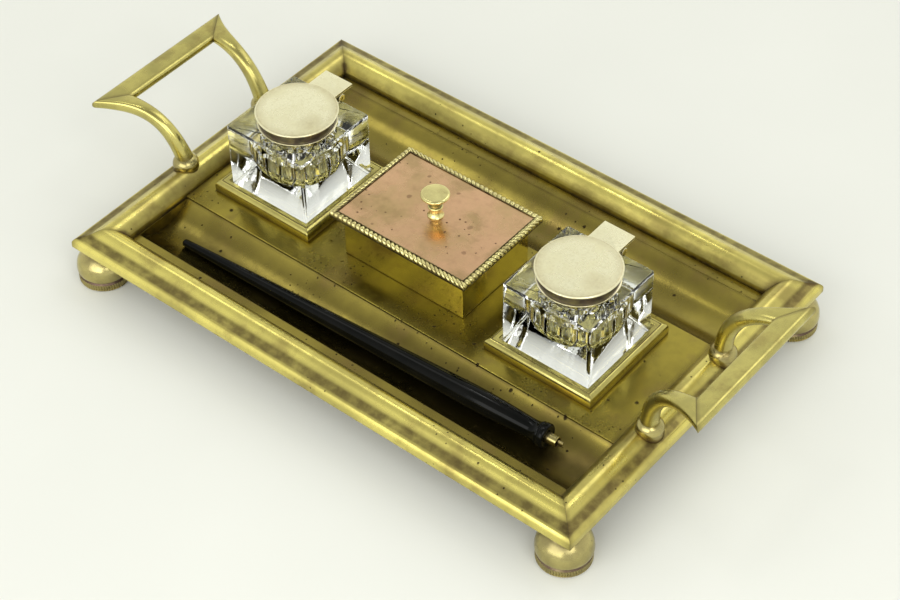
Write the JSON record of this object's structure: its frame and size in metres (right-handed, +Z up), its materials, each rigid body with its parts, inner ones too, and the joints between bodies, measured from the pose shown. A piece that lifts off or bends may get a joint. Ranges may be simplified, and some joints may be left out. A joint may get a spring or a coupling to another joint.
{
  "type": "inkstand",
  "caption": "Rectangular brass desk tray on bun feet with end handles, square glass inkwells with hinged caps, a lidded stamp box and a pen in its trough.",
  "frame": {"origin": "on the table under the middle of the overall box", "axes": "+Z up, +X along the tray's long side towards the right handle, -Y towards the pen trough and the user"},
  "size_m": [0.3595, 0.2048, 0.0699],
  "materials": {
    "rim_brass": "worn antique polish",
    "tray_brass": "worn antique polish with dark specks",
    "foot_brass": "polished, tarnished in the grooves",
    "handle_brass": "hand polished",
    "gallery_brass": "polished",
    "box_brass": "polished",
    "hidden_brass": "unpolished and dark",
    "collar_metal": "darkly tarnished plate",
    "cap_metal": "worn silver gilt plate",
    "lid_copper": "rubbed rose copper",
    "clear_glass": "cut and polished crystal",
    "black_lacquer": "glossy ebonite",
    "gilt_metal": "worn gilt"
  },
  "bodies": {
    "tray": {"rim_front": "rim_brass", "rim_back": "rim_brass", "rim_left": "rim_brass", "rim_right": "rim_brass", "tray_liner": "tray_brass", "platform_plate": "tray_brass", "foot_front_left": "foot_brass", "corner_gusset_front_left": "hidden_brass", "foot_front_right": "foot_brass", "corner_gusset_front_right": "hidden_brass", "foot_back_right": "foot_brass", "corner_gusset_back_right": "hidden_brass", "foot_back_left": "foot_brass", "corner_gusset_back_left": "hidden_brass", "handle_left_grip": "handle_brass", "handle_left_arm_front": "handle_brass", "handle_left_boss_front": "handle_brass", "handle_left_nut_front": "hidden_brass", "handle_left_arm_back": "handle_brass", "handle_left_boss_back": "handle_brass", "handle_left_nut_back": "hidden_brass", "gallery_left": "gallery_brass", "gallery_screw_left": "hidden_brass", "handle_right_grip": "handle_brass", "handle_right_arm_front": "handle_brass", "handle_right_boss_front": "handle_brass", "handle_right_nut_front": "hidden_brass", "handle_right_arm_back": "handle_brass", "handle_right_boss_back": "handle_brass", "handle_right_nut_back": "hidden_brass", "gallery_right": "gallery_brass", "gallery_screw_right": "hidden_brass", "stamp_box_body": "box_brass", "stamp_box_screw": "hidden_brass"},
    "inkwell_left": {"inkwell_glass_left": "clear_glass", "inkwell_collar_left": "collar_metal", "hinge_pin_left": "hidden_brass"},
    "cap_left": {"inkwell_cap_left": "cap_metal"},
    "inkwell_right": {"inkwell_glass_right": "clear_glass", "inkwell_collar_right": "collar_metal", "hinge_pin_right": "hidden_brass"},
    "cap_right": {"inkwell_cap_right": "cap_metal"},
    "stamp_box_lid": {"stamp_box_lid_base": "box_brass", "stamp_box_lid_border": "box_brass", "stamp_box_lid_knob": "box_brass", "stamp_box_lid_panel": "lid_copper", "stamp_box_lid_nut": "hidden_brass"},
    "pen": {"pen_holder": "black_lacquer", "pen_ferrule": "gilt_metal", "pen_nib": "gilt_metal"}
  },
  "joints": [
    {"name": "inkwell_left_lift", "type": "slide", "parent": "tray", "child": "inkwell_left", "axis": [0, 0, 1], "range_m": [0, 0.05]},
    {"name": "cap_left_hinge", "type": "hinge", "parent": "inkwell_left", "child": "cap_left", "pos_m": [-0.08655, 0.0259, 0.0654], "axis": [-1, 0, 0], "range_deg": [0, 95]},
    {"name": "inkwell_right_lift", "type": "slide", "parent": "tray", "child": "inkwell_right", "axis": [0, 0, 1], "range_m": [0, 0.05]},
    {"name": "cap_right_hinge", "type": "hinge", "parent": "inkwell_right", "child": "cap_right", "pos_m": [0.08425, 0.0233, 0.0654], "axis": [-1, 0, 0], "range_deg": [0, 95]},
    {"name": "stamp_box_lid_lift", "type": "slide", "parent": "tray", "child": "stamp_box_lid", "axis": [0, 0, 1], "range_m": [0, 0.04]},
    {"name": "pen_lift", "type": "slide", "parent": "tray", "child": "pen", "axis": [0, 0, 1], "range_m": [0, 0.04]}
  ]
}
